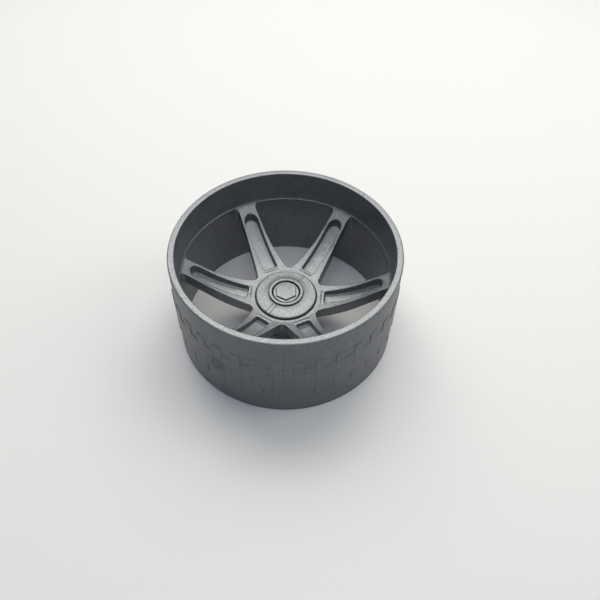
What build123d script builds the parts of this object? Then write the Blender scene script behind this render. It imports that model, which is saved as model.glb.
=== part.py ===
from build123d import *
import os
from math import asin, cos, degrees, hypot, radians, sin, tan

# Wheel of a model racing car: a treaded tyre on a six-spoke rim that runs on two small ball bearings.
# The wheel lies on its open back. Millimetres. +Z is the wheel's axis and points out of its face.
# The origin is on that axis, level with the back edge.

# ---- Tyre ----
tyre_radius = 26.0  # tyre's body, without the tread blocks
wheel_width = 26.0
lip_wall = 1.5  # the tyre's wall in front of the rim
seat_wall = 0.7  # the tyre's wall around the rim
front_edge_round = 0.4
back_edge_round = 0.2
tread_height = 0.18  # how far the tread blocks stand out of the body
tread_units = 36  # a tall and a short block make one unit
tall_block_length = 12.5
short_block_length = 7.0
first_block_angle = 4.75  # middle of a tall block, from +X

# ---- Rim ----
rim_front_wall = 0.98
rim_back_wall = 0.63
spoke_count = 6
first_spoke_angle = 53.2
hub_core = 6.5  # solid middle of the hub, in plan
spoke_root = 5.5  # radius at which a spoke's outline starts, inside the hub
spoke_root_width = 9.0
spoke_middle = 14.3
spoke_middle_width = 5.82
spoke_end_width = 4.55
spoke_crotch_round = 1.2  # between two spokes at the hub
spoke_foot_round = 1.0  # in plan, where a spoke meets the hoop
spoke_lift_slope = 11.8  # degrees, where the spoke's top leaves the hub's face
spoke_end_slope = 35.8  # degrees, at the hoop
spoke_bend = 28.5  # radius of the top's bend
spoke_under_slope = 3.0
spoke_under_bend = 18.0
foot_rise_round = 1.6  # the spoke's top turns up against the tyre's lip
foot_end_slope = 90.0
pocket_width = 3.5
pocket_hub_depth = 1.25  # below the hub's face, where the floor would meet it
pocket_floor_slope = 7.9  # degrees, at the hub
pocket_start = 9.25
pocket_tip_wall = 1.9  # from the pocket's far end to the hoop
pocket_lip_width = 0.8  # low ridge across the pocket's hub end
pocket_lip_height = 0.18

# ---- Hub ----
hub_face = 9.2  # height of the hub's flat face
hub_plate = 2.79  # thickness of the plate under that face
hub_ledge = 0.7  # flat ring between the cap's recess and the spokes
barrel_wall = 3.0
barrel_end = 1.0  # height of the barrel's back end
barrel_skirt = 0.5  # the barrel behind the snap ring
bearing_step = 0.4  # shoulder between the two bearings
barrel_chamfer = 0.4

# ---- Centre cap ----
cap_radius = 7.28
cap_gap = 0.15  # around the cap, in its recess
cap_recess = 0.3
cap_thickness = 0.9  # at its edge
cap_rise = 0.4  # from the cap's edge to the foot of its collar
cap_edge_round = 0.12
cap_plug_wall = 1.45  # the plug, outside the bearing's seat
collar_width = 0.73
collar_height = 0.5  # above its foot
collar_round = 0.14

# ---- Ball bearings ----
bearing_bore = 5.0
bearing_diameter = 8.0
bearing_width = 2.5
ball_diameter = 0.9
ball_count = 10
ring_section = 0.48  # thickness of each ring beside its groove
groove_play = 0.02
cage_section = 0.3
cage_width = 1.16
cage_play = 0.05  # around each ball
shield_thickness = 0.12
shield_inset = 0.05  # from the bearing's end face
shield_seat = 0.14  # how far the shield reaches into the outer ring
shield_play = 0.05  # to the turning ring

# ---- Spindle and fasteners ----
spacer_length = 0.7
snap_ring_thickness = 0.4
snap_ring_bite = 0.3  # into the barrel's groove
snap_ring_width = 0.75
snap_ring_gap = 40.0  # degrees
snap_ring_eye = 0.44
spindle_shoulder = 0.2  # height of the round shoulder
spindle_flats = 5.5
spindle_base = 1.1  # height of the hexagon
spindle_hole = 2.5  # tapping size
spindle_hole_depth = 3.4
spindle_recess = 0.1  # spindle's front end below the bearing's face
washer_thickness = 1.0
washer_hole = 2.2
screw_shank = 2.0
screw_reach = 2.6  # into the spindle
screw_tail_room = 0.1
screw_flange_rim = 0.15  # the flange beyond the washer
screw_flange_height = 1.74
screw_head_height = 0.48
screw_flats = 4.6
screw_head_angle = 30.0
screw_edge = 0.12

# ---- Clearances ----
press_gap = 0.02  # between pieces pushed together
slip_gap = 0.01  # spindle in the bearings
turning_gap = 0.3  # between pieces that turn past each other
match = 0.01  # how near a corner lies to the place it is looked for

# ---- Heights along the axis ----
snap_ring_back = barrel_end + barrel_skirt
back_bearing = snap_ring_back + snap_ring_thickness
front_bearing = back_bearing + bearing_width + spacer_length
bearing_top = front_bearing + bearing_width
cap_seat = hub_face - cap_recess
cap_top = cap_seat + cap_thickness
screw_seat = bearing_top + washer_thickness
spindle_shoulder_back = back_bearing - spindle_shoulder
spindle_back = spindle_shoulder_back - spindle_base

# ---- Radii ----
lip_radius = tyre_radius - lip_wall
seat_radius = tyre_radius - seat_wall
hoop_radius = seat_radius - press_gap
hoop_front_bore = hoop_radius - rim_front_wall
hoop_back_bore = hoop_radius - rim_back_wall
foot_radius = lip_radius - press_gap
cap_recess_radius = cap_radius + cap_gap
hub_flat = cap_recess_radius + hub_ledge
bearing_seat = bearing_diameter / 2 + press_gap
bearing_bore_radius = bearing_bore / 2
barrel_radius = bearing_seat + barrel_wall
barrel_step_bore = bearing_seat - bearing_step
pitch_radius = (bearing_bore + bearing_diameter) / 4
ball_radius = ball_diameter / 2
inner_ring_radius = bearing_bore_radius + ring_section
outer_ring_bore = bearing_diameter / 2 - ring_section
shield_bore = inner_ring_radius + shield_play
shield_radius = outer_ring_bore + shield_seat
clamp_radius = inner_ring_radius - shield_play  # washer, spacer and shoulder touch only the inner rings
snap_groove_radius = bearing_seat + snap_ring_bite
spindle_radius = bearing_bore_radius - slip_gap
screw_flange_radius = clamp_radius + screw_flange_rim
collar_bore = screw_flange_radius + turning_gap
collar_radius = collar_bore + collar_width
plug_bore_radius = bearing_seat + cap_plug_wall
plug_radius = plug_bore_radius - press_gap

# ---- Spoke's top and underside, seen from the side ----
lift_slope = radians(spoke_lift_slope)
end_slope = radians(spoke_end_slope)
under_slope = radians(spoke_under_slope)
bend_end_radius = hub_flat + spoke_bend * (sin(end_slope) - sin(lift_slope))
bend_end_height = hub_face + spoke_bend * (cos(lift_slope) - cos(end_slope))
under_start_height = hub_face - hub_plate
under_end_radius = hub_flat + spoke_under_bend * (sin(end_slope) - sin(under_slope))
under_end_height = under_start_height + spoke_under_bend * (cos(under_slope) - cos(end_slope))


def top_height(radius):
    """Height of the spoke's straight outer stretch at this radius."""
    return bend_end_height + (radius - bend_end_radius) * tan(end_slope)


hoop_top = top_height(hoop_front_bore)


def ring(inner, outer, low, high):
    """Plain ring about the axis."""
    return extrude(Plane.XY.offset(low) * (Circle(outer) - Circle(inner)), high - low)


def disc(radius, low, high):
    """Plain round disc or shaft about the axis."""
    return extrude(Plane.XY.offset(low) * Circle(radius), high - low)


def turned(*edges):
    """Solid turned about the axis from a closed outline of edges given as (radius, height)."""
    return revolve(Plane.XZ * make_face(Curve() + list(edges)), Axis.Z)


def path(*points):
    """Straight edges through points given as (radius, height)."""
    return list(Polyline(*points).edges())


def tyre():
    """Thin drum with a castellated band of tread blocks around its middle."""
    tall_low = (wheel_width - tall_block_length) / 2
    tall_high = tall_low + tall_block_length
    short_low = (wheel_width - short_block_length) / 2
    short_high = short_low + short_block_length
    tread_radius = tyre_radius + tread_height
    outline = Polyline(
        (seat_radius, 0),
        (tyre_radius, 0),
        (tyre_radius, tall_low),
        (tread_radius, tall_low),
        (tread_radius, tall_high),
        (tyre_radius, tall_high),
        (tyre_radius, wheel_width),
        (lip_radius, wheel_width),
        (lip_radius, hoop_top + press_gap),
        (seat_radius, hoop_top + press_gap),
        close=True,
    )
    section = make_face(outline)
    front_edge = [corner for corner in section.vertices() if at(corner, tyre_radius, wheel_width)]
    section = fillet(front_edge, front_edge_round)
    back_edge = [corner for corner in section.vertices() if at(corner, tyre_radius, 0)]
    section = fillet(back_edge, back_edge_round)
    unit_angle = 360 / tread_units
    notch = notch_sector(tyre_radius, tread_radius + tread_height, unit_angle / 2)
    first_notch = first_block_angle + unit_angle / 2
    notches = Sketch() + [Rot(0, 0, first_notch + index * unit_angle) * notch for index in range(tread_units)]
    body = revolve(Plane.XZ * section, Axis.Z)
    body -= extrude(Plane.XY.offset(tall_low) * notches, short_low - tall_low)
    return body - extrude(Plane.XY.offset(short_high) * notches, tall_high - short_high)


def at(corner, x, y):
    return hypot(corner.X - x, corner.Y - y) < match


def notch_sector(inner, outer, angle):
    """Plan of the notch between two tall blocks: a sector of a ring, centred on +X."""
    half = radians(angle / 2)
    outer_start = (outer * cos(half), -outer * sin(half))
    outer_end = (outer * cos(half), outer * sin(half))
    inner_start = (inner * cos(half), -inner * sin(half))
    inner_end = (inner * cos(half), inner * sin(half))
    outline = [
        Line(inner_start, outer_start),
        ThreePointArc(outer_start, (outer, 0), outer_end),
        Line(outer_end, inner_end),
        ThreePointArc(inner_end, (inner, 0), inner_start),
    ]
    return make_face(Curve() + outline)


def rim_outline():
    """Plan of hub, spokes and hoop, with the corners between them rounded."""
    root = spoke_root_width / 2
    middle = spoke_middle_width / 2
    end = spoke_end_width / 2
    reach = hoop_front_bore + rim_front_wall / 2
    sides = [
        ThreePointArc((spoke_root, -root), (spoke_middle, -middle), (reach, -end)),
        Line((reach, -end), (reach, end)),
        ThreePointArc((reach, end), (spoke_middle, middle), (spoke_root, root)),
        Line((spoke_root, root), (spoke_root, -root)),
    ]
    spoke = make_face(Curve() + sides)
    spokes = [Rot(0, 0, angle) * spoke for angle in spoke_angles()]
    plan = Sketch() + spokes + Circle(hub_core) + (Circle(hoop_radius) - Circle(hoop_front_bore))
    crotches = [corner for corner in plan.vertices() if hub_core < from_axis(corner) < spoke_middle]
    plan = fillet(crotches, spoke_crotch_round)
    feet = [corner for corner in plan.vertices() if abs(from_axis(corner) - hoop_front_bore) < match]
    return fillet(feet, spoke_foot_round)


def from_axis(corner):
    return hypot(corner.X, corner.Y)


def spoke_angles():
    return [first_spoke_angle + index * 360 / spoke_count for index in range(spoke_count)]


def rising_edges(start_height, start_slope):
    """A bend from the hub outwards and a straight stretch at the spoke's end slope, as far as the foot."""
    foot_start_radius = foot_radius - foot_rise_round * (1 - sin(end_slope))
    lift = JernArc(
        start=(hub_flat, start_height),
        tangent=(cos(radians(start_slope)), sin(radians(start_slope))),
        radius=spoke_bend,
        arc_size=spoke_end_slope - start_slope,
    )
    bend_end = lift @ 1
    rise_height = (foot_start_radius - bend_end.X) * tan(end_slope)
    return lift, Line(bend_end, (foot_start_radius, bend_end.Y + rise_height))


def web_section():
    """Side view of the hub plate and a spoke, from the axis to the hoop."""
    lift, rise = rising_edges(hub_face, spoke_lift_slope)
    foot = JernArc(
        start=rise @ 1,
        tangent=rise % 1,
        radius=foot_rise_round,
        arc_size=foot_end_slope - spoke_end_slope,
    )
    under = JernArc(
        start=(hub_flat, under_start_height),
        tangent=(cos(under_slope), sin(under_slope)),
        radius=spoke_under_bend,
        arc_size=spoke_end_slope - spoke_under_slope,
    )
    hoop_under = under_end_height + (hoop_radius - under_end_radius) * tan(end_slope)
    top = [Line((0, hub_face), (hub_flat, hub_face)), lift, rise, foot]
    outside = [
        Line(foot @ 1, (foot_radius, hoop_top)),
        Line((foot_radius, hoop_top), (hoop_radius, hoop_top)),
        Line((hoop_radius, hoop_top), (hoop_radius, hoop_under)),
        Line((hoop_radius, hoop_under), under @ 1),
    ]
    bottom = [under, Line((hub_flat, under_start_height), (0, under_start_height))]
    return turned(*top, *outside, *bottom, Line((0, under_start_height), (0, hub_face)))


def spoke_pockets():
    """Six long pockets, open at the top, with a round far end and a floor that deepens outwards."""
    floor_start = hub_face - pocket_hub_depth
    lift, rise = rising_edges(floor_start, pocket_floor_slope)
    above = wheel_width
    band = turned(
        Line((0, floor_start), (hub_flat, floor_start)),
        lift,
        rise,
        Line(rise @ 1, ((rise @ 1).X, above)),
        Line(((rise @ 1).X, above), (0, above)),
        Line((0, above), (0, floor_start)),
    )
    tip = hoop_front_bore - pocket_tip_wall - pocket_width / 2
    length = tip - pocket_start
    slot = Pos(pocket_start + length / 2, 0) * Rectangle(length, pocket_width)
    slot = slot + Pos(tip, 0) * Circle(pocket_width / 2)
    slots = Sketch() + [Rot(0, 0, angle) * slot for angle in spoke_angles()]
    return extrude(slots, above) & band


def pocket_lips():
    """A low round ridge across each spoke, beside the pocket's hub end."""
    half = pocket_lip_width / 2
    ridge_radius = (half**2 + pocket_lip_height**2) / (2 * pocket_lip_height)
    middle = pocket_start - half
    slope = asin(sin(lift_slope) + (middle - hub_flat) / spoke_bend)
    spoke_top = hub_face + spoke_bend * (cos(lift_slope) - cos(slope))
    height = spoke_top + pocket_lip_height - ridge_radius
    ridge = Pos(middle, 0, height) * Rot(90, 0, 0) * Cylinder(ridge_radius, pocket_width)
    return Part() + [Rot(0, 0, angle) * ridge for angle in spoke_angles()]


def spoked_rim():
    hoop = turned(
        *path(
            (hoop_back_bore, 0),
            (hoop_radius, 0),
            (hoop_radius, hoop_top),
            (hoop_front_bore, hoop_top),
            (hoop_back_bore, 0),
        )
    )
    web = extrude(rim_outline(), wheel_width) & web_section()
    barrel = turned(
        *path(
            (0, barrel_end),
            (barrel_radius - barrel_chamfer, barrel_end),
            (barrel_radius, barrel_end + barrel_chamfer),
            (barrel_radius, hub_face - hub_plate / 2),
            (0, hub_face - hub_plate / 2),
            (0, barrel_end),
        )
    )
    step_low = back_bearing + bearing_width
    bore = disc(barrel_step_bore, barrel_end, hub_face)
    bore += disc(bearing_seat, barrel_end, step_low)
    bore += disc(bearing_seat, front_bearing, hub_face)
    bore += disc(plug_bore_radius, bearing_top, hub_face)
    bore += disc(cap_recess_radius, cap_seat, hub_face)
    groove_low = snap_ring_back - press_gap
    bore += disc(snap_groove_radius + press_gap, groove_low, back_bearing + press_gap)
    return hoop + web + barrel + pocket_lips() - spoke_pockets() - bore


def centre_cap():
    """Cap that swells towards its collar; its plug keeps the front bearing in its seat."""
    plug_end = bearing_top + press_gap
    collar_foot = cap_top + cap_rise
    collar_top = collar_foot + collar_height
    swell = TangentArc(
        (cap_radius - cap_edge_round, cap_top),
        (collar_radius, collar_foot),
        tangent=(-1, 0),
    )
    edges = path(
        (collar_radius, collar_foot),
        (collar_radius, collar_top - collar_round),
        (collar_radius - collar_round, collar_top),
        (collar_bore + collar_round, collar_top),
        (collar_bore, collar_top - collar_round),
        (collar_bore, plug_end),
        (plug_radius, plug_end),
        (plug_radius, cap_seat),
        (cap_radius, cap_seat),
        (cap_radius, cap_top - cap_edge_round),
        (cap_radius - cap_edge_round, cap_top),
    )
    return turned(*edges, swell)


def ball_places(height):
    """Ball centres, none of them on +X."""
    step = 360 / ball_count
    return [Rot(0, 0, (index + 0.5) * step) * Pos(pitch_radius, 0, height) for index in range(ball_count)]


def bearing(name, low):
    """Every piece of one shielded ball bearing whose back face is at this height."""
    high = low + bearing_width
    middle = low + bearing_width / 2
    groove = Pos(0, 0, middle) * Torus(pitch_radius, ball_radius + groove_play)
    outer = ring(outer_ring_bore, bearing_diameter / 2, low, high) - groove
    inner = ring(bearing_bore_radius, inner_ring_radius, low, high) - groove
    cage = ring(
        pitch_radius - cage_section / 2,
        pitch_radius + cage_section / 2,
        middle - cage_width / 2,
        middle + cage_width / 2,
    )
    balls = []
    for place in ball_places(middle):
        balls.append(place * Sphere(ball_radius))
        cage -= place * Rot(0, 90, 0) * Cylinder(ball_radius + cage_play, 2 * cage_section)
    back_low = low + shield_inset
    front_low = high - shield_inset - shield_thickness
    for seat_low, seat_high in ((low, back_low + shield_thickness), (front_low, high)):
        outer -= disc(shield_radius, seat_low, seat_high)
    return {
        f"{name}_outer_ring": outer,
        f"{name}_inner_ring": inner,
        f"{name}_balls": Compound(children=balls),
        f"{name}_cage": cage,
        f"{name}_back_shield": ring(shield_bore, shield_radius, back_low, back_low + shield_thickness),
        f"{name}_front_shield": ring(shield_bore, shield_radius, front_low, front_low + shield_thickness),
    }


def spindle():
    shaft = disc(spindle_radius, spindle_shoulder_back, bearing_top - spindle_recess)
    shoulder = disc(clamp_radius, spindle_shoulder_back, back_bearing)
    base_outline = RegularPolygon(spindle_flats / 2, 6, major_radius=False)
    base = extrude(Plane.XY.offset(spindle_back) * base_outline, spindle_base)
    back_hole = disc(spindle_hole / 2, spindle_back, spindle_back + spindle_hole_depth)
    screw_hole_end = bearing_top - spindle_recess - screw_reach - screw_tail_room
    front_hole = disc(screw_shank / 2 + press_gap, screw_hole_end, bearing_top)
    return shaft + shoulder + base - back_hole - front_hole


def bearing_spacer():
    return ring(bearing_bore_radius, clamp_radius, back_bearing + bearing_width, front_bearing)


def retaining_ring():
    """Snap ring with two eyes at its open ends."""
    outer = snap_groove_radius
    inner = outer - snap_ring_width
    flat = Circle(outer) - Circle(inner)
    half_gap = radians(snap_ring_gap / 2)
    reach = 2 * outer
    mouth = Polyline(
        (0, 0),
        (reach * cos(half_gap), -reach * sin(half_gap)),
        (reach * cos(half_gap), reach * sin(half_gap)),
        close=True,
    )
    flat -= make_face(mouth)
    eye_radius = (outer + inner) / 2
    eye_angle = snap_ring_gap / 2 + degrees(snap_ring_eye / eye_radius)
    for angle in (-eye_angle, eye_angle):
        flat -= Rot(0, 0, angle) * Pos(eye_radius, 0) * Circle(snap_ring_eye / 2)
    return extrude(Plane.XY.offset(snap_ring_back) * flat, snap_ring_thickness)


def retaining_washer():
    return ring(washer_hole / 2, clamp_radius, bearing_top, screw_seat)


def hub_screw():
    flange = disc(screw_flange_radius, screw_seat, screw_seat + screw_flange_height)
    head_outline = RegularPolygon(screw_flats / 2, 6, major_radius=False, rotation=screw_head_angle)
    head_low = screw_seat + screw_flange_height
    head = extrude(Plane.XY.offset(head_low) * head_outline, screw_head_height)
    head = chamfer(head.faces().sort_by(Axis.Z)[-1].edges(), screw_edge)
    shank_end = bearing_top - spindle_recess - screw_reach
    shank = disc(screw_shank / 2, shank_end, screw_seat)
    return flange + head + shank


pieces = {
    "tyre": tyre(),
    "spoked_rim": spoked_rim(),
    "centre_cap": centre_cap(),
    "hub_screw": hub_screw(),
    "retaining_washer": retaining_washer(),
    "spindle": spindle(),
    "bearing_spacer": bearing_spacer(),
    "retaining_ring": retaining_ring(),
}
pieces.update(bearing("front_bearing", front_bearing))
pieces.update(bearing("back_bearing", back_bearing))

os.makedirs("parts", exist_ok=True)
for node, shape in pieces.items():
    export_step(shape, f"parts/{node}.step")
    print(node, round(shape.volume, 3))
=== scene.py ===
from math import cos, pi, radians, sin, tan

import bmesh
import bpy
import numpy as np
from mathutils import Matrix, Vector


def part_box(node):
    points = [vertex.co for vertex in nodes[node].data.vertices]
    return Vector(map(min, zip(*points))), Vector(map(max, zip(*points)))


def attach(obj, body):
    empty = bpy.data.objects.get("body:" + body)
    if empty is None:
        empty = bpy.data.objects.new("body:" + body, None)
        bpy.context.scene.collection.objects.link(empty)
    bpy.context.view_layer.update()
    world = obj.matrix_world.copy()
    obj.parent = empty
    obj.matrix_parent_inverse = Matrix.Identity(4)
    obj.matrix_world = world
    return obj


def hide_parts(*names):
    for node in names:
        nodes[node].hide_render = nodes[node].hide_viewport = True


# Wheel of a model racing car, lying on its open back: a treaded tyre on a six-spoke rim, with its hub.
# Lengths are in millimetres until a mesh or a node input takes them, and MM turns them into metres.
MM = 0.001

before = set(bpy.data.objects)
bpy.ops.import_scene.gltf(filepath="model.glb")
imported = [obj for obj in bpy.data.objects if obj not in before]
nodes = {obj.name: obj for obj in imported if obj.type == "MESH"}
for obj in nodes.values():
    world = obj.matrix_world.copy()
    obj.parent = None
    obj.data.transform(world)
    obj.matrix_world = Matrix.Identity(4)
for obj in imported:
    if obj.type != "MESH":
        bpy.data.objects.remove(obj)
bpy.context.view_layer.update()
scene = bpy.context.scene


def extent(node):
    """Lowest and highest corner of a CAD node."""
    low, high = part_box(node)
    return low / MM, high / MM


# ---- Sizes ----
# Tyre
tread_radius = extent("tyre")[1].x
wheel_width = extent("tyre")[1].z
tread_height = 0.18
tyre_radius = tread_radius - tread_height
lip_wall = 1.5
lip_radius = tyre_radius - lip_wall
press_gap = 0.02
seat_radius = extent("spoked_rim")[1].x + press_gap
lip_foot_height = 17.70  # the lip ends here, a little way into the rim, so that no gap shows
lip_flare = (  # its flared foot, as reach inwards and height
    (0.0, 19.1),
    (0.04, 18.75),
    (0.10, 18.45),
    (0.16, 18.22),
    (0.21, 18.07),
    (0.27, 18.05),
)
tread_units = 36
tall_block_length = 12.5
short_block_length = 7.0
first_block_angle = 4.75
plain_columns = 17  # even mesh lines across one tread unit
step_run = 0.08  # how far a tread block's side slopes
line_depth = 0.05  # faint line between two blocks
front_edge_round = 0.4
lip_edge_round = 0.2
back_edge_round = 0.2

scuff_centre = (-15.6, -21.05, 12.8)  # worn patch on the tread
scuff_reach = 4.2
nick_size = 0.6

# Rim
rim_cell = 0.15  # grain of the rebuilt surface, which rounds the moulded edges
rim_softening = 3
rim_share = 0.17  # faces kept when the plain stretches are thinned

# Spindle and snap ring, softened like the rim
spindle_cell = 0.07
snap_ring_cell = 0.04
steel_softening = 2

# Centre cap
cap_radius = extent("centre_cap")[1].x
cap_plug_end = extent("centre_cap")[0].z
collar_top = extent("centre_cap")[1].z
cap_seat = 8.9
cap_edge_height = 9.74
cap_rise = 0.38  # from its edge to the foot of its collar
cap_edge_round = 0.38
collar_bore = 3.38
collar_radius = 4.11
collar_round = 0.18
plug_radius = 5.45
hub_face = 9.2  # height of the hub round the cap

# Hub screw
screw_end, screw_top = extent("hub_screw")[0].z, extent("hub_screw")[1].z
screw_flange_radius = extent("hub_screw")[1].x
screw_shank_radius = 1.0
screw_seat = 8.6
screw_flange_top = 10.45
screw_flats = 4.6
screw_first_corner = 30.0
screw_edge_round = 0.12

# Bearings
pitch_radius = 3.25
ball_radius = 0.45
ball_count = 10
bearing_pieces = {
    "outer_ring": "bearing_steel",
    "inner_ring": "bearing_steel",
    "cage": "cage_brass",
    "back_shield": "shield_steel",
    "front_shield": "shield_steel",
}

# Silver plastic
plastic_dark = (0.160, 0.167, 0.182, 1)
plastic_light = (0.226, 0.236, 0.257, 1)
flake_size = 0.17
flake_tilt = 0.20
flake_contrast = 0.46
grain_size = 0.5
grain_depth = 0.02
blotch_size = 4.0
smooth_gloss, rough_gloss = 0.35, 0.45  # roughness from blotch to blotch
wall_darkening = 0.22  # of the tyre's outer wall
wall_roughening = 0.06
skin_bump = 0.08
flow_line_darkness = 0.85
# painted shade in the corners round the cap, its collar and the screw's hexagon
corner_shade_strength = 0.9
scratch_darkness = 0.8
# painted shade along the tread blocks' edges, patchy from faint to deep
faint_step_shade, deep_step_shade = 0.12, 0.55  # darkness along the tread blocks' edges


# ---- Node trees ----
def put(tree, kind, inputs=None, **settings):
    """Adds a node. Each input takes a value or another node's output."""
    node = tree.nodes.new(kind)
    for name, value in settings.items():
        setattr(node, name, value)
    for name, value in (inputs or {}).items():
        if isinstance(value, bpy.types.NodeSocket):
            tree.links.new(value, node.inputs[name])
        else:
            node.inputs[name].default_value = value
    return node


def calc(tree, operation, *values):
    """Output of a math node."""
    return put(tree, "ShaderNodeMath", dict(enumerate(values)), operation=operation).outputs[0]


def ramp(tree, value, low, high, start=0.0, end=1.0):
    """Smooth step of a value from start at low to end at high."""
    inputs = {"Value": value, "From Min": low, "From Max": high, "To Min": start, "To Max": end}
    node = put(tree, "ShaderNodeMapRange", inputs, interpolation_type="SMOOTHSTEP")
    return node.outputs["Result"]


def new_tree(name, kind, inputs, outputs):
    """Node group with named sockets, each given as name: (kind, starting value)."""
    tree = bpy.data.node_groups.new(name, kind)
    for label, (socket_kind, value) in inputs.items():
        socket = tree.interface.new_socket(label, in_out="INPUT", socket_type="NodeSocket" + socket_kind)
        if value is not None:
            socket.default_value = value
    for label, socket_kind in outputs.items():
        tree.interface.new_socket(label, in_out="OUTPUT", socket_type="NodeSocket" + socket_kind)
    return tree, tree.nodes.new("NodeGroupInput").outputs, tree.nodes.new("NodeGroupOutput").inputs


def ring_of_copies_tree():
    """Copies of a piece about the wheel's axis, welded where they meet."""
    inputs = {
        "Geometry": ("Geometry", None),
        "Copies": ("Int", 6),
        "First Angle": ("Float", 0.0),
        "Weld Distance": ("Float", 0.0),
        "Material": ("Material", None),
    }
    tree, given, made = new_tree("ring of copies", "GeometryNodeTree", inputs, {"Geometry": "Geometry"})
    points = put(tree, "GeometryNodePoints", {"Count": given["Copies"]})
    index = put(tree, "GeometryNodeInputIndex").outputs[0]
    step = calc(tree, "DIVIDE", 2 * pi, given["Copies"])
    angle = calc(tree, "ADD", given["First Angle"], calc(tree, "MULTIPLY", index, step))
    turn = put(tree, "ShaderNodeCombineXYZ", {"Z": angle}).outputs[0]
    inputs = {"Points": points.outputs[0], "Instance": given["Geometry"], "Rotation": turn}
    copies = put(tree, "GeometryNodeInstanceOnPoints", inputs).outputs[0]
    solid = put(tree, "GeometryNodeRealizeInstances", {"Geometry": copies}).outputs[0]
    inputs = {"Geometry": solid, "Distance": given["Weld Distance"]}
    welded = put(tree, "GeometryNodeMergeByDistance", inputs).outputs[0]
    smooth = put(tree, "GeometryNodeSetShadeSmooth", {0: welded}).outputs[0]
    done = put(tree, "GeometryNodeSetMaterial", {"Geometry": smooth, "Material": given["Material"]})
    tree.links.new(done.outputs[0], made["Geometry"])
    return tree


def treaded_tyre_tree(ring_of_copies):
    """Raises a tall and a short tread block on one plain stretch of tyre, and repeats it all round."""
    inputs = {
        "Geometry": ("Geometry", None),
        "Radius": ("Float", 0.0),
        "Width": ("Float", 0.0),
        "Tread Height": ("Float", 0.0),
        "Tall Block Length": ("Float", 0.0),
        "Short Block Length": ("Float", 0.0),
        "Step Run": ("Float", 0.0),
        "Line Depth": ("Float", 0.0),
        "Units": ("Int", 36),
        "First Block Angle": ("Float", 0.0),
        "Weld Distance": ("Float", 0.0),
        "Material": ("Material", None),
    }
    tree, given, made = new_tree("treaded tyre", "GeometryNodeTree", inputs, {"Geometry": "Geometry"})
    position = put(tree, "GeometryNodeInputPosition").outputs[0]
    x, y, z = put(tree, "ShaderNodeSeparateXYZ", {0: position}).outputs
    along = calc(tree, "ABSOLUTE", calc(tree, "MULTIPLY", calc(tree, "ARCTAN2", y, x), given["Radius"]))
    quarter_unit = calc(tree, "MULTIPLY", calc(tree, "DIVIDE", pi / 2, given["Units"]), given["Radius"])
    into_tall = calc(tree, "SUBTRACT", quarter_unit, along)
    from_middle = calc(tree, "ABSOLUTE", calc(tree, "SUBTRACT", z, calc(tree, "DIVIDE", given["Width"], 2.0)))
    half_run = calc(tree, "DIVIDE", given["Step Run"], 2.0)
    fall = calc(tree, "MULTIPLY", half_run, -1.0)
    raised = []
    for name in ("Tall Block Length", "Short Block Length"):
        inside = calc(tree, "SUBTRACT", calc(tree, "DIVIDE", given[name], 2.0), from_middle)
        raised.append(ramp(tree, inside, fall, half_run))
    tall = calc(tree, "MULTIPLY", raised[0], ramp(tree, into_tall, fall, half_run))
    relief = calc(tree, "MAXIMUM", tall, raised[1])
    line_half_width = calc(tree, "MULTIPLY", given["Step Run"], 1.5)
    line = ramp(tree, calc(tree, "ABSOLUTE", into_tall), 0.0, line_half_width, 1.0, 0.0)
    line = calc(tree, "MULTIPLY", line, raised[1])
    rise = calc(tree, "MULTIPLY", relief, given["Tread Height"])
    rise = calc(tree, "SUBTRACT", rise, calc(tree, "MULTIPLY", line, given["Line Depth"]))
    level = put(tree, "ShaderNodeCombineXYZ", {"X": x, "Y": y}).outputs[0]
    outward = put(tree, "ShaderNodeVectorMath", {0: level}, operation="NORMALIZE").outputs[0]
    radius = put(tree, "ShaderNodeVectorMath", {0: level}, operation="LENGTH").outputs["Value"]
    skin = calc(tree, "GREATER_THAN", radius, calc(tree, "MULTIPLY", given["Radius"], 0.99))
    rise = calc(tree, "MULTIPLY", rise, skin)
    offset = put(tree, "ShaderNodeVectorMath", {0: outward, "Scale": rise}, operation="SCALE").outputs[0]
    moved = put(tree, "GeometryNodeSetPosition", {"Geometry": given["Geometry"], "Offset": offset}).outputs[0]
    # mark for painted shade along the blocks' sloping sides and in the line between blocks
    slope = calc(tree, "MULTIPLY", relief, calc(tree, "SUBTRACT", 1.0, relief))
    mark = calc(tree, "MAXIMUM", calc(tree, "MULTIPLY", slope, 4.0), calc(tree, "MULTIPLY", line, 0.5))
    mark = calc(tree, "MULTIPLY", mark, skin)
    inputs = {"Geometry": moved, "Name": "tread_step", "Value": mark}
    marked = put(tree, "GeometryNodeStoreNamedAttribute", inputs).outputs[0]
    ring = put(tree, "GeometryNodeGroup", node_tree=ring_of_copies)
    tree.links.new(marked, ring.inputs["Geometry"])
    tree.links.new(given["Units"], ring.inputs["Copies"])
    tree.links.new(given["First Block Angle"], ring.inputs["First Angle"])
    for name in ("Weld Distance", "Material"):
        tree.links.new(given[name], ring.inputs[name])
    tree.links.new(ring.outputs[0], made["Geometry"])
    return tree


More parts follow.
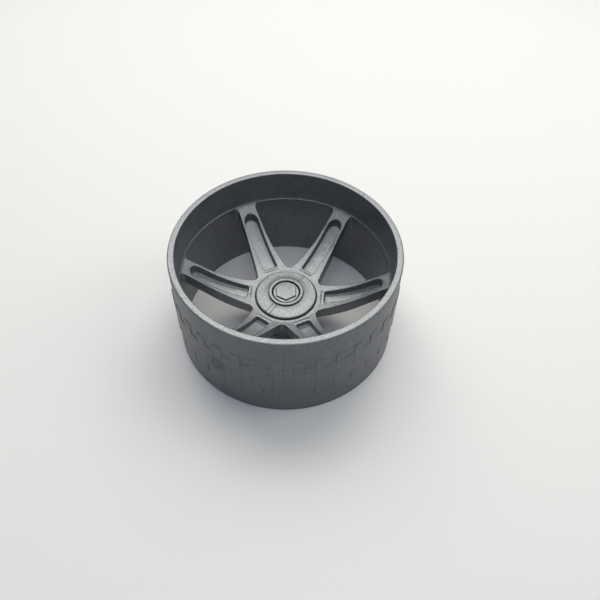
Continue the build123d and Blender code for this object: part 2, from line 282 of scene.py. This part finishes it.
# ---- Meshes ----
def outline(*corners, steps=5):
    """Closed outline through corners given as (radius, height, rounding), with arcs at the rounded ones."""
    points = []
    spots = [np.array(corner[:2], float) for corner in corners]
    for index, (here, corner) in enumerate(zip(spots, corners)):
        rounding = corner[2] if len(corner) > 2 else 0
        if not rounding:
            points.append(tuple(here))
            continue
        arriving = here - spots[index - 1]
        leaving = spots[(index + 1) % len(spots)] - here
        arriving /= np.linalg.norm(arriving)
        leaving /= np.linalg.norm(leaving)
        cross = arriving[0] * leaving[1] - arriving[1] * leaving[0]
        turn = np.arctan2(cross, arriving @ leaving)
        start = here - arriving * rounding * tan(abs(turn) / 2)
        centre = start + np.array((-arriving[1], arriving[0])) * rounding * np.sign(turn)
        for step in range(steps + 1):
            swing = turn * step / steps
            spoke = start - centre
            turned_spoke = (
                spoke[0] * cos(swing) - spoke[1] * sin(swing),
                spoke[0] * sin(swing) + spoke[1] * cos(swing),
            )
            points.append(tuple(centre + turned_spoke))
    return points


def swept_mesh(name, profile, angles, whole_turn=True, reach=None):
    """Mesh of an outline of (radius, height) turned about the axis through these angles.
    The outline runs anticlockwise. reach, if given, scales a point's radius by its angle."""
    count = len(profile)
    vertices = []
    for angle in angles:
        for radius, height in profile:
            far = radius * (reach(radius, height, angle) if reach else 1)
            vertices.append((far * cos(angle) * MM, far * sin(angle) * MM, height * MM))
    faces = []
    columns = len(angles)
    for column in range(columns if whole_turn else columns - 1):
        here, there = column * count, (column + 1) % columns * count
        for row in range(count):
            above = (row + 1) % count
            faces.append((here + row, there + row, there + above, here + above))
    mesh = bpy.data.meshes.new(name)
    mesh.from_pydata(vertices, [], faces)
    return mesh


def full_turn(segments):
    return [2 * pi * index / segments for index in range(segments)]


def tidied(mesh, weld=0.0005, outward=True):
    """Welds doubled points, drops flat faces and points the normals outwards."""
    shape = bmesh.new()
    shape.from_mesh(mesh)
    bmesh.ops.remove_doubles(shape, verts=shape.verts, dist=weld * MM)
    bmesh.ops.dissolve_degenerate(shape, edges=shape.edges, dist=weld * MM)
    if outward:
        bmesh.ops.recalc_face_normals(shape, faces=shape.faces)
    for face in shape.faces:
        face.smooth = True
    shape.to_mesh(mesh)
    shape.free()
    return mesh


def placed(name, mesh):
    piece = bpy.data.objects.new(name, mesh)
    scene.collection.objects.link(piece)
    return piece


def finished(piece):
    """The piece with its modifiers worked into a plain mesh."""
    bpy.context.view_layer.update()
    graph = bpy.context.evaluated_depsgraph_get()
    mesh = bpy.data.meshes.new_from_object(piece.evaluated_get(graph))
    name = piece.name
    bpy.data.objects.remove(piece)
    mesh.name = name
    return placed(name, mesh)


def with_tree(piece, tree, values):
    """Adds a Geometry Nodes modifier with its named inputs set, and works it in."""
    modifier = piece.modifiers.new("nodes", "NODES")
    modifier.node_group = tree
    sockets = {item.name: item.identifier for item in tree.interface.items_tree if item.in_out == "INPUT"}
    for name, value in values.items():
        modifier[sockets[name]] = value
    return finished(piece)


def crisp(piece):
    """Keeps flat faces flat beside their rounded edges."""
    modifier = piece.modifiers.new("weighted normals", "WEIGHTED_NORMAL")
    modifier.weight = 100
    modifier.keep_sharp = True
    return finished(piece)


def softened(name, node, cell, passes, share=1.0):
    """Copy of a CAD piece, rebuilt so that its edges are rounded as moulded or tumbled edges are."""
    piece = placed(name, tidied(nodes[node].data.copy(), outward=False))
    piece.data.materials.clear()
    rebuild = piece.modifiers.new("rebuild", "REMESH")
    rebuild.mode = "VOXEL"
    rebuild.voxel_size = cell * MM
    rebuild.use_smooth_shade = True
    smooth = piece.modifiers.new("soften", "SMOOTH")
    smooth.factor = 0.5
    smooth.iterations = passes
    if share < 1:
        thin = piece.modifiers.new("thin", "DECIMATE")
        thin.ratio = share
    return finished(piece)


def dress(piece, body, slot, *stands_for):
    """Gives a finished piece its material in its one slot, puts it in its body and hides the CAD nodes that
    it stands for.
    """
    piece.data.materials.clear()
    piece.data.materials.append(materials[slot])
    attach(piece, body)
    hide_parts(*stands_for)


# ---- Pieces ----
def tyre_stretch():
    """One tread unit of plain tyre, with mesh lines where the blocks' edges come."""
    offsets = [step_run * share for share in (-1.5, -0.5, 0, 0.5, 1.5)]
    middle = wheel_width / 2
    levels = []
    for length in (tall_block_length, short_block_length):
        levels += [middle - length / 2, middle + length / 2]
    rows = sorted(level + offset for level in levels for offset in offsets)
    profile = outline(
        (seat_radius, 0),
        (tyre_radius, 0, back_edge_round),
        *((tyre_radius, height) for height in rows),
        (tyre_radius, wheel_width, front_edge_round),
        (lip_radius, wheel_width, lip_edge_round),
        *((lip_radius - reach, height) for reach, height in lip_flare),
        (lip_radius - lip_flare[-1][0], lip_foot_height),
        (seat_radius, lip_foot_height),
    )
    half_unit = pi / tread_units * tyre_radius
    block_edge = half_unit / 2
    columns = [side * block_edge + offset for side in (-1, 1) for offset in offsets]
    even = np.linspace(-half_unit, half_unit, plain_columns)
    columns += [column for column in even if abs(abs(column) - block_edge) > 2 * step_run]
    angles = [column / tyre_radius for column in sorted(columns)]
    return swept_mesh("tyre_stretch", profile, angles, whole_turn=False)


def make_tyre(trees):
    piece = placed("treaded_tyre", tyre_stretch())
    values = {
        "Radius": tyre_radius * MM,
        "Width": wheel_width * MM,
        "Tread Height": tread_height * MM,
        "Tall Block Length": tall_block_length * MM,
        "Short Block Length": short_block_length * MM,
        "Step Run": step_run * MM,
        "Line Depth": line_depth * MM,
        "Units": tread_units,
        "First Block Angle": radians(first_block_angle),
        "Weld Distance": 0.002 * MM,
        "Material": materials["tyre_plastic"],
    }
    piece = with_tree(piece, trees["tyre"], values)
    piece = crisp(piece)
    dress(piece, "wheel", "tyre_plastic", "tyre")


def make_rim():
    piece = softened("six_spoke_rim", "spoked_rim", rim_cell, rim_softening, rim_share)
    dress(piece, "wheel", "rim_plastic", "spoked_rim")


def make_cap():
    swell_steps = 24
    rim = cap_radius - cap_edge_round
    swell = []
    for step in range(1, swell_steps + 1):
        share = step / swell_steps
        swell.append((rim + (collar_radius - rim) * share, cap_edge_height + cap_rise * share**3))
    profile = outline(
        (collar_bore, cap_plug_end, 0.1),
        (plug_radius, cap_plug_end, 0.1),
        (plug_radius, cap_seat),
        (cap_radius, cap_seat, 0.1),
        (cap_radius, cap_edge_height, cap_edge_round),
        *swell,
        (collar_radius, collar_top, collar_round),
        (collar_bore, collar_top, collar_round),
    )
    piece = placed("collared_cap", tidied(swept_mesh("collared_cap", profile, full_turn(180))))
    dress(crisp(piece), "wheel", "rim_plastic", "centre_cap")


def hexagon_reach(flats, first_corner, foot):
    """Scales radii up to half the flats, above the foot, into a hexagon with slightly rounded corners."""
    sharpness = 60

    def reach(radius, height, angle):
        if radius > flats / 2 + 0.001 or height < foot - 0.001:
            return 1
        sides = [cos(angle - radians(first_corner + 30 + 60 * side)) for side in range(6)]
        return sum(max(side, 0) ** sharpness for side in sides) ** (-1 / sharpness)

    return reach


def make_screw():
    profile = outline(
        (0, screw_end),
        (screw_shank_radius, screw_end, 0.1),
        (screw_shank_radius, screw_seat),
        (screw_flange_radius, screw_seat, 0.08),
        (screw_flange_radius, screw_flange_top, 0.14),
        (screw_flats / 2, screw_flange_top, 0.08),
        (screw_flats / 2, screw_top, screw_edge_round),
        (0, screw_top),
    )
    reach = hexagon_reach(screw_flats, screw_first_corner, screw_flange_top)
    mesh = swept_mesh("flanged_screw", profile, full_turn(192), reach=reach)
    dress(crisp(placed("flanged_screw", tidied(mesh))), "spindle", "screw_grey", "hub_screw")


def make_balls(trees):
    """One ring of balls for each bearing."""
    for name in ("front", "back"):
        low, high = extent(f"{name}_bearing_balls")
        shape = bmesh.new()
        place = Matrix.Translation((pitch_radius * MM, 0, (low.z + high.z) / 2 * MM))
        bmesh.ops.create_uvsphere(shape, u_segments=24, v_segments=14, radius=ball_radius * MM, matrix=place)
        mesh = bpy.data.meshes.new("ball")
        shape.to_mesh(mesh)
        shape.free()
        values = {
            "Copies": ball_count,
            "First Angle": pi / ball_count,
            "Weld Distance": 0.0001 * MM,
            "Material": materials["bearing_steel"],
        }
        piece = with_tree(placed(f"{name}_ball_set", mesh), trees["ring"], values)
        dress(piece, f"{name}_cage", "bearing_steel", f"{name}_bearing_balls")


def make_hidden_hub():
    """Spindle, snap ring and the CAD pieces that keep their own shape."""
    piece = softened("hexagon_spindle", "spindle", spindle_cell, steel_softening)
    dress(piece, "spindle", "turned_steel", "spindle")
    piece = softened("snap_ring", "retaining_ring", snap_ring_cell, steel_softening)
    dress(piece, "wheel", "spring_steel", "retaining_ring")
    kept = {"bearing_spacer": "turned_steel", "retaining_washer": "turned_steel"}
    for bearing in ("front", "back"):
        for part, slot in bearing_pieces.items():
            kept[f"{bearing}_bearing_{part}"] = slot
    for node, slot in kept.items():
        nodes[node].data.materials.clear()
        nodes[node].data.materials.append(materials[slot])


# ---- Shared surface effects ----
def flake_group():
    """Metal flake in the plastic: tiny plates, each tilted a little its own way."""
    inputs = {
        "Vector": ("Vector", None),
        "Flake Size": ("Float", 0.1),
        "Tilt": ("Float", 0.2),
        "Contrast": ("Float", 0.2),
    }
    outputs = {"Normal": "Vector", "Tone": "Float"}
    tree, given, made = new_tree("metal flake", "ShaderNodeTree", inputs, outputs)
    scale = calc(tree, "DIVIDE", 1 / MM, given["Flake Size"])
    cells = put(tree, "ShaderNodeTexVoronoi", {"Vector": given["Vector"], "Scale": scale})
    inputs = {0: cells.outputs["Color"], 1: (0.5, 0.5, 0.5)}
    centred = put(tree, "ShaderNodeVectorMath", inputs, operation="SUBTRACT")
    inputs = {0: centred.outputs[0], "Scale": given["Tilt"]}
    tilted = put(tree, "ShaderNodeVectorMath", inputs, operation="SCALE").outputs[0]
    normal = put(tree, "ShaderNodeNewGeometry").outputs["Normal"]
    total = put(tree, "ShaderNodeVectorMath", {0: tilted, 1: normal}, operation="ADD").outputs[0]
    unit = put(tree, "ShaderNodeVectorMath", {0: total}, operation="NORMALIZE").outputs[0]
    tree.links.new(unit, made["Normal"])
    red = put(tree, "ShaderNodeSeparateColor", {0: cells.outputs["Color"]}).outputs[0]
    swing = calc(tree, "MULTIPLY", calc(tree, "SUBTRACT", red, 0.5), given["Contrast"])
    tree.links.new(calc(tree, "ADD", swing, 1.0), made["Tone"])
    return tree


def mould_skin_group():
    """Skin of moulded plastic: a fine grain and broad, faint blotches."""
    inputs = {
        "Vector": ("Vector", None),
        "Grain Size": ("Float", 0.3),
        "Blotch Size": ("Float", 5.0),
    }
    outputs = {"Height": "Float", "Blotch": "Float"}
    tree, given, made = new_tree("mould skin", "ShaderNodeTree", inputs, outputs)
    for name, size, detail in (("Height", "Grain Size", 3.0), ("Blotch", "Blotch Size", 4.0)):
        scale = calc(tree, "DIVIDE", 1 / MM, given[size])
        noise = put(tree, "ShaderNodeTexNoise", {"Vector": given["Vector"], "Scale": scale, "Detail": detail})
        tree.links.new(noise.outputs[0], made[name])
    return tree


def flow_line_group():
    """Mask of one thin line between two points on a face, where two streams of plastic met."""
    inputs = {
        "Vector": ("Vector", None),
        "Start": ("Vector", (0, 0, 0)),
        "End": ("Vector", (0, 0, 0)),
        "Width": ("Float", 0.2),
    }
    tree, given, made = new_tree("flow line", "ShaderNodeTree", inputs, {"Mask": "Float"})

    def vector(operation, *values):
        return put(tree, "ShaderNodeVectorMath", dict(enumerate(values)), operation=operation)

    span = vector("SUBTRACT", given["End"], given["Start"]).outputs[0]
    here = vector("SUBTRACT", given["Vector"], given["Start"]).outputs[0]
    along = vector("DOT_PRODUCT", here, span).outputs["Value"]
    whole = vector("DOT_PRODUCT", span, span).outputs["Value"]
    share = put(tree, "ShaderNodeClamp", {0: calc(tree, "DIVIDE", along, whole)}).outputs[0]
    nearest = put(tree, "ShaderNodeVectorMath", {0: span, "Scale": share}, operation="SCALE").outputs[0]
    gap = vector("DISTANCE", here, nearest).outputs["Value"]
    edge = calc(tree, "MULTIPLY", given["Width"], MM)
    tree.links.new(ramp(tree, gap, 0.0, edge, 1.0, 0.0), made["Mask"])
    return tree


def corner_shade_group(name, flats):
    """Mask of painted shade: a dark line in the corner round a boss, which has these flat sides or is round.
    """
    inputs = {
        "Vector": ("Vector", None),
        "Radius": ("Float", 1.0),
        "Height": ("Float", 0.0),
        "Width": ("Float", 0.2),
    }
    tree, given, made = new_tree(name, "ShaderNodeTree", inputs, {"Mask": "Float"})
    x, y, z = put(tree, "ShaderNodeSeparateXYZ", {0: given["Vector"]}).outputs
    level = put(tree, "ShaderNodeCombineXYZ", {"X": x, "Y": y}).outputs[0]
    if flats:
        radius = 0.0
        for angle in flats:
            facing = (cos(radians(angle)), sin(radians(angle)), 0)
            reach = put(tree, "ShaderNodeVectorMath", {0: level, 1: facing}, operation="DOT_PRODUCT")
            radius = calc(tree, "MAXIMUM", radius, calc(tree, "ABSOLUTE", reach.outputs["Value"]))
    else:
        radius = put(tree, "ShaderNodeVectorMath", {0: level}, operation="LENGTH").outputs["Value"]
    outward = calc(tree, "SUBTRACT", calc(tree, "DIVIDE", radius, MM), given["Radius"])
    upward = calc(tree, "SUBTRACT", calc(tree, "DIVIDE", z, MM), given["Height"])
    apart = put(tree, "ShaderNodeCombineXYZ", {"X": outward, "Y": upward}).outputs[0]
    gap = put(tree, "ShaderNodeVectorMath", {0: apart}, operation="LENGTH").outputs["Value"]
    tree.links.new(ramp(tree, gap, 0.0, given["Width"], 1.0, 0.0), made["Mask"])
    return tree


def scuff_group():
    """Scratches inside one soft-edged patch, and a nick in its middle, on which the material paints shade and
    a highlight.
    """
    inputs = {
        "Vector": ("Vector", None),
        "Centre": ("Vector", (0, 0, 0)),
        "Reach": ("Float", 3.0),
        "Nick Size": ("Float", 0.3),
    }
    tree, given, made = new_tree("scuff", "ShaderNodeTree", inputs, {"Scratches": "Float", "Nick": "Float"})
    gap = put(tree, "ShaderNodeVectorMath", {0: given["Vector"], 1: given["Centre"]}, operation="DISTANCE")
    gap = calc(tree, "DIVIDE", gap.outputs["Value"], MM)
    patch = ramp(tree, gap, 0.0, given["Reach"], 1.3, 0.0)
    inputs = {"Vector": given["Vector"], "Scale": 0.9 / MM, "Detail": 4.0, "Distortion": 1.5}
    noise = put(tree, "ShaderNodeTexNoise", inputs).outputs[0]
    ridge = calc(tree, "ABSOLUTE", calc(tree, "SUBTRACT", noise, 0.5))
    scratches = ramp(tree, ridge, 0.01, 0.12, 1.0, 0.0)
    tree.links.new(calc(tree, "MULTIPLY", scratches, patch), made["Scratches"])
    tree.links.new(ramp(tree, gap, 0.0, given["Nick Size"], 1.0, 0.0), made["Nick"])
    return tree


def turned_marks_group():
    """Fine rings that a cutting tool leaves on turned metal, about the wheel's axis."""
    inputs = {"Vector": ("Vector", None), "Pitch": ("Float", 0.1)}
    tree, given, made = new_tree("turned marks", "ShaderNodeTree", inputs, {"Height": "Float"})
    x, y, z = put(tree, "ShaderNodeSeparateXYZ", {0: given["Vector"]}).outputs
    level = put(tree, "ShaderNodeCombineXYZ", {"X": x, "Y": y}).outputs[0]
    radius = put(tree, "ShaderNodeVectorMath", {0: level}, operation="LENGTH").outputs["Value"]
    place = put(tree, "ShaderNodeCombineXYZ", {"X": radius, "Y": z}).outputs[0]
    scale = calc(tree, "DIVIDE", 1 / MM, given["Pitch"])
    noise = put(tree, "ShaderNodeTexNoise", {"Vector": place, "Scale": scale, "Detail": 2.0})
    tree.links.new(noise.outputs[0], made["Height"])
    return tree


# ---- Materials ----
def new_material(name):
    material = bpy.data.materials.new(name)
    material.use_nodes = True
    tree = material.node_tree
    shader = tree.nodes["Principled BSDF"]
    place = put(tree, "ShaderNodeTexCoord").outputs["Object"]
    return material, tree, shader, place


def mixed(tree, mask, first, second):
    """Colour between two others."""
    node = put(tree, "ShaderNodeMix", data_type="RGBA")
    for index, value in ((0, mask), (6, first), (7, second)):
        if isinstance(value, bpy.types.NodeSocket):
            tree.links.new(value, node.inputs[index])
        else:
            node.inputs[index].default_value = value
    return node.outputs[2]


def grey(value, blue=0.0):
    return (value, value * (1 + blue / 2), value * (1 + blue), 1)


def tread_wall(tree, place):
    """Mask of the tyre's outer wall, which is duller than its lip."""
    x, y, z = put(tree, "ShaderNodeSeparateXYZ", {0: place}).outputs
    level = put(tree, "ShaderNodeCombineXYZ", {"X": x, "Y": y}).outputs[0]
    radius = put(tree, "ShaderNodeVectorMath", {0: level}, operation="LENGTH").outputs["Value"]
    return ramp(tree, radius, (tyre_radius - front_edge_round) * MM, (tyre_radius - 0.1) * MM)


def silver_plastic(name, groups, lines=(), corners=(), treaded=False):
    """Grey plastic with metal flake. lines are flow lines as (start, end, width) and corners are painted
    shade, dark lines in corners as (group, radius, height, width)."""
    material, tree, shader, place = new_material(name)
    shader.inputs["Metallic"].default_value = 0.6
    skin = put(tree, "ShaderNodeGroup", node_tree=groups["skin"])
    flake = put(tree, "ShaderNodeGroup", node_tree=groups["flake"])
    for node in (skin, flake):
        tree.links.new(place, node.inputs["Vector"])
    flake.inputs["Flake Size"].default_value = flake_size
    flake.inputs["Tilt"].default_value = flake_tilt
    flake.inputs["Contrast"].default_value = flake_contrast
    skin.inputs["Grain Size"].default_value = grain_size
    skin.inputs["Blotch Size"].default_value = blotch_size
    colour = mixed(tree, skin.outputs["Blotch"], plastic_dark, plastic_light)
    tone = put(tree, "ShaderNodeVectorMath", {0: colour, "Scale": flake.outputs["Tone"]}, operation="SCALE")
    colour = tone.outputs[0]
    height = skin.outputs["Height"]
    for start, end, width in lines:
        line = put(tree, "ShaderNodeGroup", node_tree=groups["line"])
        tree.links.new(place, line.inputs["Vector"])
        line.inputs["Start"].default_value = [length * MM for length in start]
        line.inputs["End"].default_value = [length * MM for length in end]
        line.inputs["Width"].default_value = width
        mask = line.outputs["Mask"]
        colour = mixed(tree, calc(tree, "MULTIPLY", mask, flow_line_darkness), colour, grey(0.05))
        height = calc(tree, "SUBTRACT", height, mask)
    for group, *values in corners:
        corner = put(tree, "ShaderNodeGroup", node_tree=groups[group])
        tree.links.new(place, corner.inputs["Vector"])
        for socket, value in zip(("Radius", "Height", "Width"), values):
            corner.inputs[socket].default_value = value
        # painted shade: a dark line in each corner, where shade falls
        mask = calc(tree, "MULTIPLY", corner.outputs["Mask"], corner_shade_strength)
        colour = mixed(tree, mask, colour, grey(0.02))
    rough = ramp(tree, skin.outputs["Blotch"], 0.3, 0.7, smooth_gloss, rough_gloss)
    if treaded:
        wall = tread_wall(tree, place)
        colour = mixed(tree, calc(tree, "MULTIPLY", wall, wall_darkening), colour, grey(0.0))
        rough = calc(tree, "ADD", rough, calc(tree, "MULTIPLY", wall, wall_roughening))
        # painted shade along the tread blocks' edges and in the line between blocks, patchy
        mark = put(tree, "ShaderNodeAttribute", attribute_name="tread_step").outputs["Fac"]
        inputs = {"Vector": place, "Scale": 0.12 / MM, "Detail": 3.0}
        patchy = put(tree, "ShaderNodeTexNoise", inputs).outputs[0]
        darkness = ramp(tree, patchy, 0.36, 0.60, faint_step_shade, deep_step_shade)
        colour = mixed(tree, calc(tree, "MULTIPLY", mark, darkness), colour, grey(0.03))
        scuff = put(tree, "ShaderNodeGroup", node_tree=groups["scuff"])
        tree.links.new(place, scuff.inputs["Vector"])
        scuff.inputs["Centre"].default_value = [length * MM for length in scuff_centre]
        scuff.inputs["Reach"].default_value = scuff_reach
        scuff.inputs["Nick Size"].default_value = nick_size
        scratches, nick_shade_and_glint = scuff.outputs["Scratches"], scuff.outputs["Nick"]
        colour = mixed(tree, calc(tree, "MULTIPLY", scratches, scratch_darkness), colour, grey(0.03))
        # painted shade and painted highlight: the nick is painted near black, with a bright glint at its
        # middle
        colour = mixed(tree, nick_shade_and_glint, colour, grey(0.015))
        colour = mixed(tree, ramp(tree, nick_shade_and_glint, 0.6, 0.9), colour, grey(0.5))
        height = calc(tree, "SUBTRACT", height, calc(tree, "MULTIPLY", scratches, 1.5))
    tree.links.new(colour, shader.inputs["Base Color"])
    inputs = {
        "Height": height,
        "Normal": flake.outputs["Normal"],
        "Strength": skin_bump,
        "Distance": grain_depth * MM,
    }
    bump = put(tree, "ShaderNodeBump", inputs)
    tree.links.new(bump.outputs[0], shader.inputs["Normal"])
    tree.links.new(rough, shader.inputs["Roughness"])
    return material


def turned_metal(name, groups, colour, roughness, pitch):
    """Bare metal with a cutting tool's fine rings."""
    material, tree, shader, place = new_material(name)
    shader.inputs["Metallic"].default_value = 1.0
    marks = put(tree, "ShaderNodeGroup", node_tree=groups["marks"])
    tree.links.new(place, marks.inputs["Vector"])
    marks.inputs["Pitch"].default_value = pitch
    height = marks.outputs["Height"]
    darker = [channel * 0.75 for channel in colour[:3]] + [1]
    tree.links.new(mixed(tree, height, darker, colour), shader.inputs["Base Color"])
    tree.links.new(ramp(tree, height, 0.3, 0.7, roughness, roughness + 0.12), shader.inputs["Roughness"])
    bump = put(tree, "ShaderNodeBump", {"Height": height, "Strength": 0.3, "Distance": 0.01 * MM})
    tree.links.new(bump.outputs[0], shader.inputs["Normal"])
    return material


def on_ring(radius, angle, height):
    """Point at this radius, angle and height."""
    return (radius * cos(radians(angle)), radius * sin(radians(angle)), height)


def make_materials(groups):
    face_lines = (
        (on_ring(24.3, 64.5, wheel_width), on_ring(26.0, 67.5, wheel_width), 0.16),
        (on_ring(24.3, 40.0, wheel_width), on_ring(26.0, 42.5, wheel_width), 0.14),
    )
    cap_lines = (
        (on_ring(4.8, 50.5, 9.95), on_ring(7.2, 50.5, 9.70), 0.32),
        (on_ring(4.5, -124.0, 10.0), on_ring(7.2, -124.5, 9.70), 0.32),
        (on_ring(4.5, -134.5, 10.0), on_ring(7.2, -133.5, 9.70), 0.32),
    )
    # painted shade in the gap round the cap's edge and round the foot of its collar
    rim_corner_shades = (
        ("round_corner_shade", cap_radius + 0.06, hub_face, 0.3),
        ("round_corner_shade", collar_radius, cap_edge_height + cap_rise, 0.22),
    )
    # painted shade round the foot of the screw's hexagon
    screw_corner_shades = (("six_sided_corner_shade", screw_flats / 2, screw_flange_top, 0.26),)
    return {
        "tyre_plastic": silver_plastic("tyre_plastic", groups, face_lines, treaded=True),
        "rim_plastic": silver_plastic("rim_plastic", groups, cap_lines, rim_corner_shades),
        "screw_grey": silver_plastic("screw_grey", groups, corners=screw_corner_shades),
        "turned_steel": turned_metal("turned_steel", groups, (0.50, 0.50, 0.51, 1), 0.28, 0.09),
        "bearing_steel": turned_metal("bearing_steel", groups, (0.62, 0.62, 0.63, 1), 0.14, 0.05),
        "shield_steel": turned_metal("shield_steel", groups, (0.55, 0.55, 0.57, 1), 0.3, 0.07),
        "cage_brass": turned_metal("cage_brass", groups, (0.66, 0.48, 0.22, 1), 0.3, 0.08),
        "spring_steel": turned_metal("spring_steel", groups, (0.13, 0.13, 0.14, 1), 0.35, 0.08),
    }


# ---- Floor, light and camera ----
# These lengths are in metres, angles in degrees and powers in watts.
floor_reach = 3.0
floor_gap = 0.00002
floor_fade = (0.17, 0.42)  # from the floor's middle, where it starts and ends
warm = (1.0, 0.98, 0.87)
cool = (0.88, 1.0, 1.32)
lamps = (  # name, azimuth, elevation, distance, width, depth, power, colour
    ("window", 90, 54, 0.44, 0.45, 0.28, 0.54, warm),
    ("window_right", 55, 50, 0.42, 0.20, 0.25, 0.32, warm),
    ("window_left", 125, 50, 0.42, 0.20, 0.25, 0.33, warm),
    ("window_high", 90, 68, 0.50, 0.30, 0.20, 0.37, warm),
    ("ceiling", 90, 90, 0.40, 0.30, 0.30, 0.33, warm),
    ("side", 0, 46, 0.50, 0.25, 0.25, 0.40, warm),
    ("side_low", 10, 25, 0.42, 0.20, 0.20, 0.12, warm),
    ("front", 270, 72, 0.60, 0.30, 0.30, 0.25, cool),
)
sky_colour = (0.74, 0.90, 1.08, 1)
sky_strength = 0.125
camera_place = (-0.00202, -0.09535, 0.12785)
camera_yaw, camera_pitch, camera_roll = 3.252, 51.64, 1.36
camera_lens = 37.888


def make_floor():
    """Plain pale floor at the height of the wheel's lowest edge, fading into the background far away."""
    shape = bmesh.new()
    bmesh.ops.create_grid(shape, x_segments=1, y_segments=1, size=floor_reach)
    mesh = bpy.data.meshes.new("floor")
    shape.to_mesh(mesh)
    shape.free()
    floor = placed("floor", mesh)
    floor.location.z = extent("tyre")[0].z * MM - floor_gap
    material, tree, shader, place = new_material("pale_floor")
    shader.inputs["Base Color"].default_value = (0.815, 0.81, 0.83, 1)
    shader.inputs["Roughness"].default_value = 0.7
    shader.inputs["Specular IOR Level"].default_value = 0.2
    distance = put(tree, "ShaderNodeVectorMath", {0: place}, operation="LENGTH").outputs["Value"]
    tree.links.new(ramp(tree, distance, *floor_fade, 1.0, 0.0), shader.inputs["Alpha"])
    floor.data.materials.append(material)


def area_light(name, azimuth, elevation, distance, width, depth, power, colour):
    """Soft lamp aimed at the origin."""
    level = distance * cos(radians(elevation))
    height = distance * sin(radians(elevation))
    place = Vector((level * cos(radians(azimuth)), level * sin(radians(azimuth)), height))
    data = bpy.data.lights.new(name, "AREA")
    data.shape = "RECTANGLE"
    data.size, data.size_y = width, depth
    data.energy = power
    data.color = colour
    light = bpy.data.objects.new(name, data)
    light.location = place
    light.rotation_mode = "QUATERNION"
    light.rotation_quaternion = (-place).to_track_quat("-Z", "Y")
    scene.collection.objects.link(light)


def make_lights():
    """Windows behind, a soft ceiling, lamps at the side, a cooler one in front and a weak bluish sky."""
    for lamp in lamps:
        area_light(*lamp)
    world = bpy.data.worlds.new("sky")
    scene.world = world
    world.use_nodes = True
    tree = world.node_tree
    tree.nodes.clear()
    light = put(tree, "ShaderNodeBackground", {"Color": sky_colour, "Strength": sky_strength})
    upward = put(tree, "ShaderNodeSeparateXYZ", {0: put(tree, "ShaderNodeTexCoord").outputs["Generated"]})
    height = ramp(tree, upward.outputs["Z"], 0.0, 1.0)
    backdrop = mixed(tree, height, (0.60, 0.61, 0.62, 1), (0.92, 0.93, 0.92, 1))
    seen = put(tree, "ShaderNodeBackground", {"Color": backdrop, "Strength": 1.0})
    rays = put(tree, "ShaderNodeLightPath").outputs
    mirrored = calc(tree, "MAXIMUM", rays["Is Glossy Ray"], rays["Is Transmission Ray"])
    path = calc(tree, "MAXIMUM", rays["Is Camera Ray"], mirrored)
    choice = put(tree, "ShaderNodeMixShader", {0: path, 1: light.outputs[0], 2: seen.outputs[0]})
    output = put(tree, "ShaderNodeOutputWorld", {"Surface": choice.outputs[0]})
    output.is_active_output = True


def make_camera():
    """Camera in front of the wheel and above it, turned a little off the wheel's middle."""
    yaw, pitch, roll = radians(camera_yaw), radians(camera_pitch), radians(camera_roll)
    ahead = Vector((sin(yaw) * cos(pitch), cos(yaw) * cos(pitch), -sin(pitch)))
    level = Vector((cos(yaw), -sin(yaw), 0))
    upward = level.cross(ahead)
    right = level * cos(roll) + upward * sin(roll)
    up = upward * cos(roll) - level * sin(roll)
    data = bpy.data.cameras.new("camera")
    data.sensor_width = 36
    data.lens = camera_lens
    data.clip_start = 0.001
    camera = bpy.data.objects.new("camera", data)
    turn = Matrix((right, up, -ahead)).transposed()
    camera.matrix_world = Matrix.Translation(camera_place) @ turn.to_4x4()
    scene.collection.objects.link(camera)
    scene.camera = camera


# ---- The scene ----
groups = {
    "flake": flake_group(),
    "skin": mould_skin_group(),
    "line": flow_line_group(),
    "round_corner_shade": corner_shade_group("painted shade in a round corner", ()),
    "six_sided_corner_shade": corner_shade_group("painted shade in a six-sided corner", (0, 60, 120)),
    "scuff": scuff_group(),
    "marks": turned_marks_group(),
}
materials = make_materials(groups)
ring_tree = ring_of_copies_tree()
trees = {"ring": ring_tree, "tyre": treaded_tyre_tree(ring_tree)}
make_tyre(trees)
make_rim()
make_cap()
make_screw()
make_balls(trees)
make_hidden_hub()
make_floor()
make_lights()
make_camera()
scene.view_settings.view_transform = "Standard"
